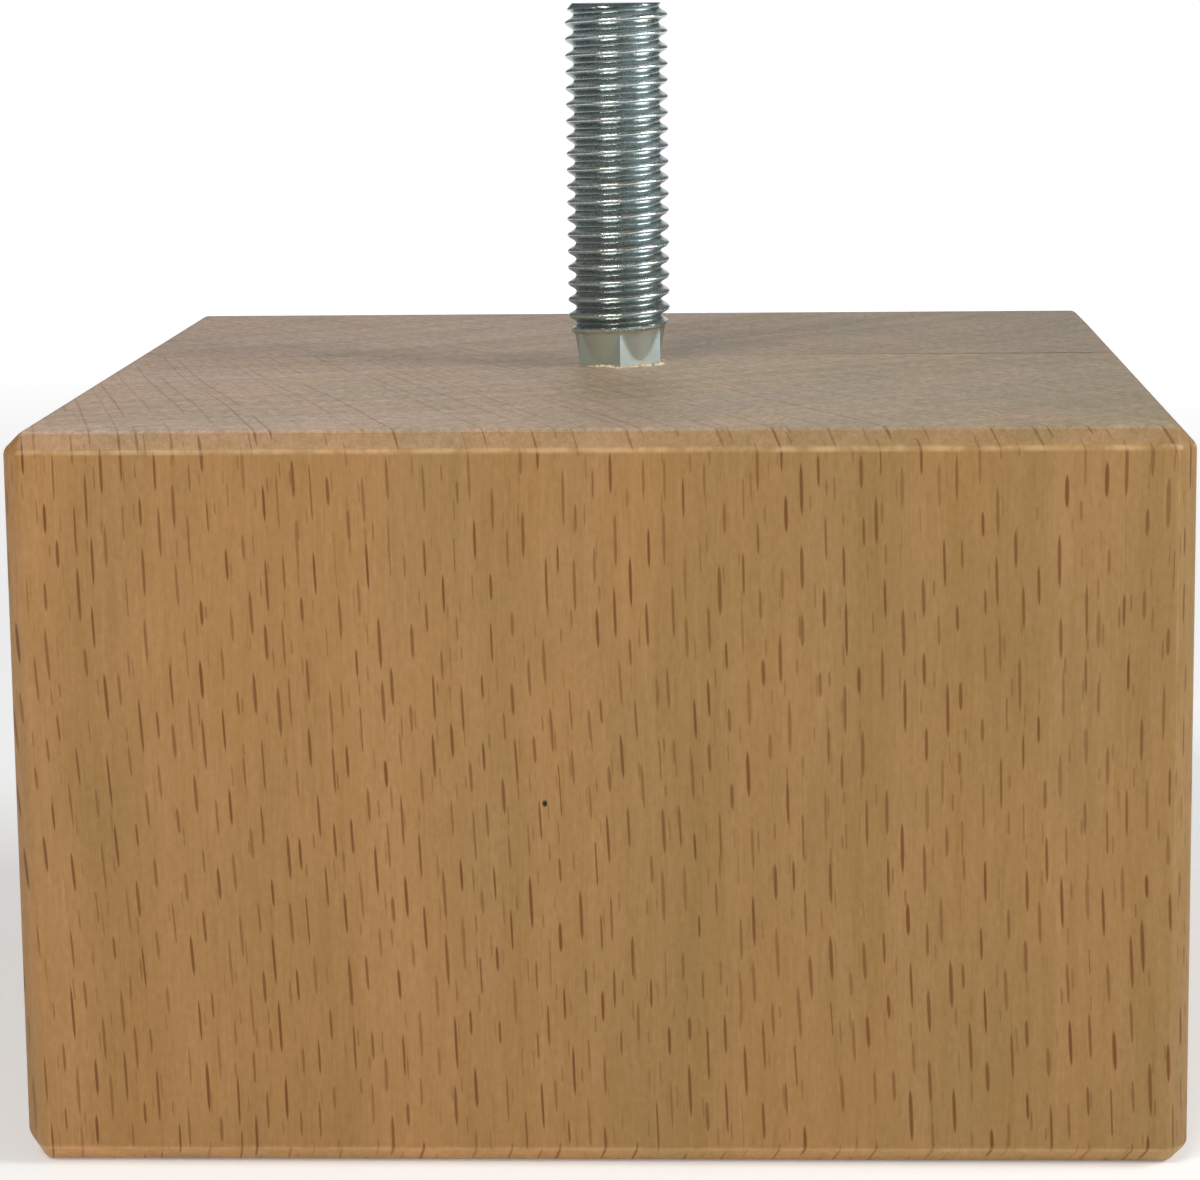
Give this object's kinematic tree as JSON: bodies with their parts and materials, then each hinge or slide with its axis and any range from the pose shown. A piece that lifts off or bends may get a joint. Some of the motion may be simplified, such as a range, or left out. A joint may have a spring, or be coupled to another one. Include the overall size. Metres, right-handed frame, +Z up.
{
  "type": "furniture foot",
  "caption": "Square wooden block foot with chamfered edges and a threaded metal stud standing out of its top, which screws into the underside of a piece of furniture to hold it up.",
  "frame": {"origin": "middle of the underside, on the floor", "axes": "+Z up along the stud, -Y towards the viewer of the picture's front face, +X to that viewer's right"},
  "size_m": [0.08, 0.08, 0.0787],
  "materials": {
    "beech": "smooth sanded, thin satin lacquer",
    "zinc_plate": "bright zinc plating"
  },
  "bodies": {
    "root": {"front_board": "beech", "rear_board": "beech", "hanger_bolt": "zinc_plate"}
  },
  "joints": []
}
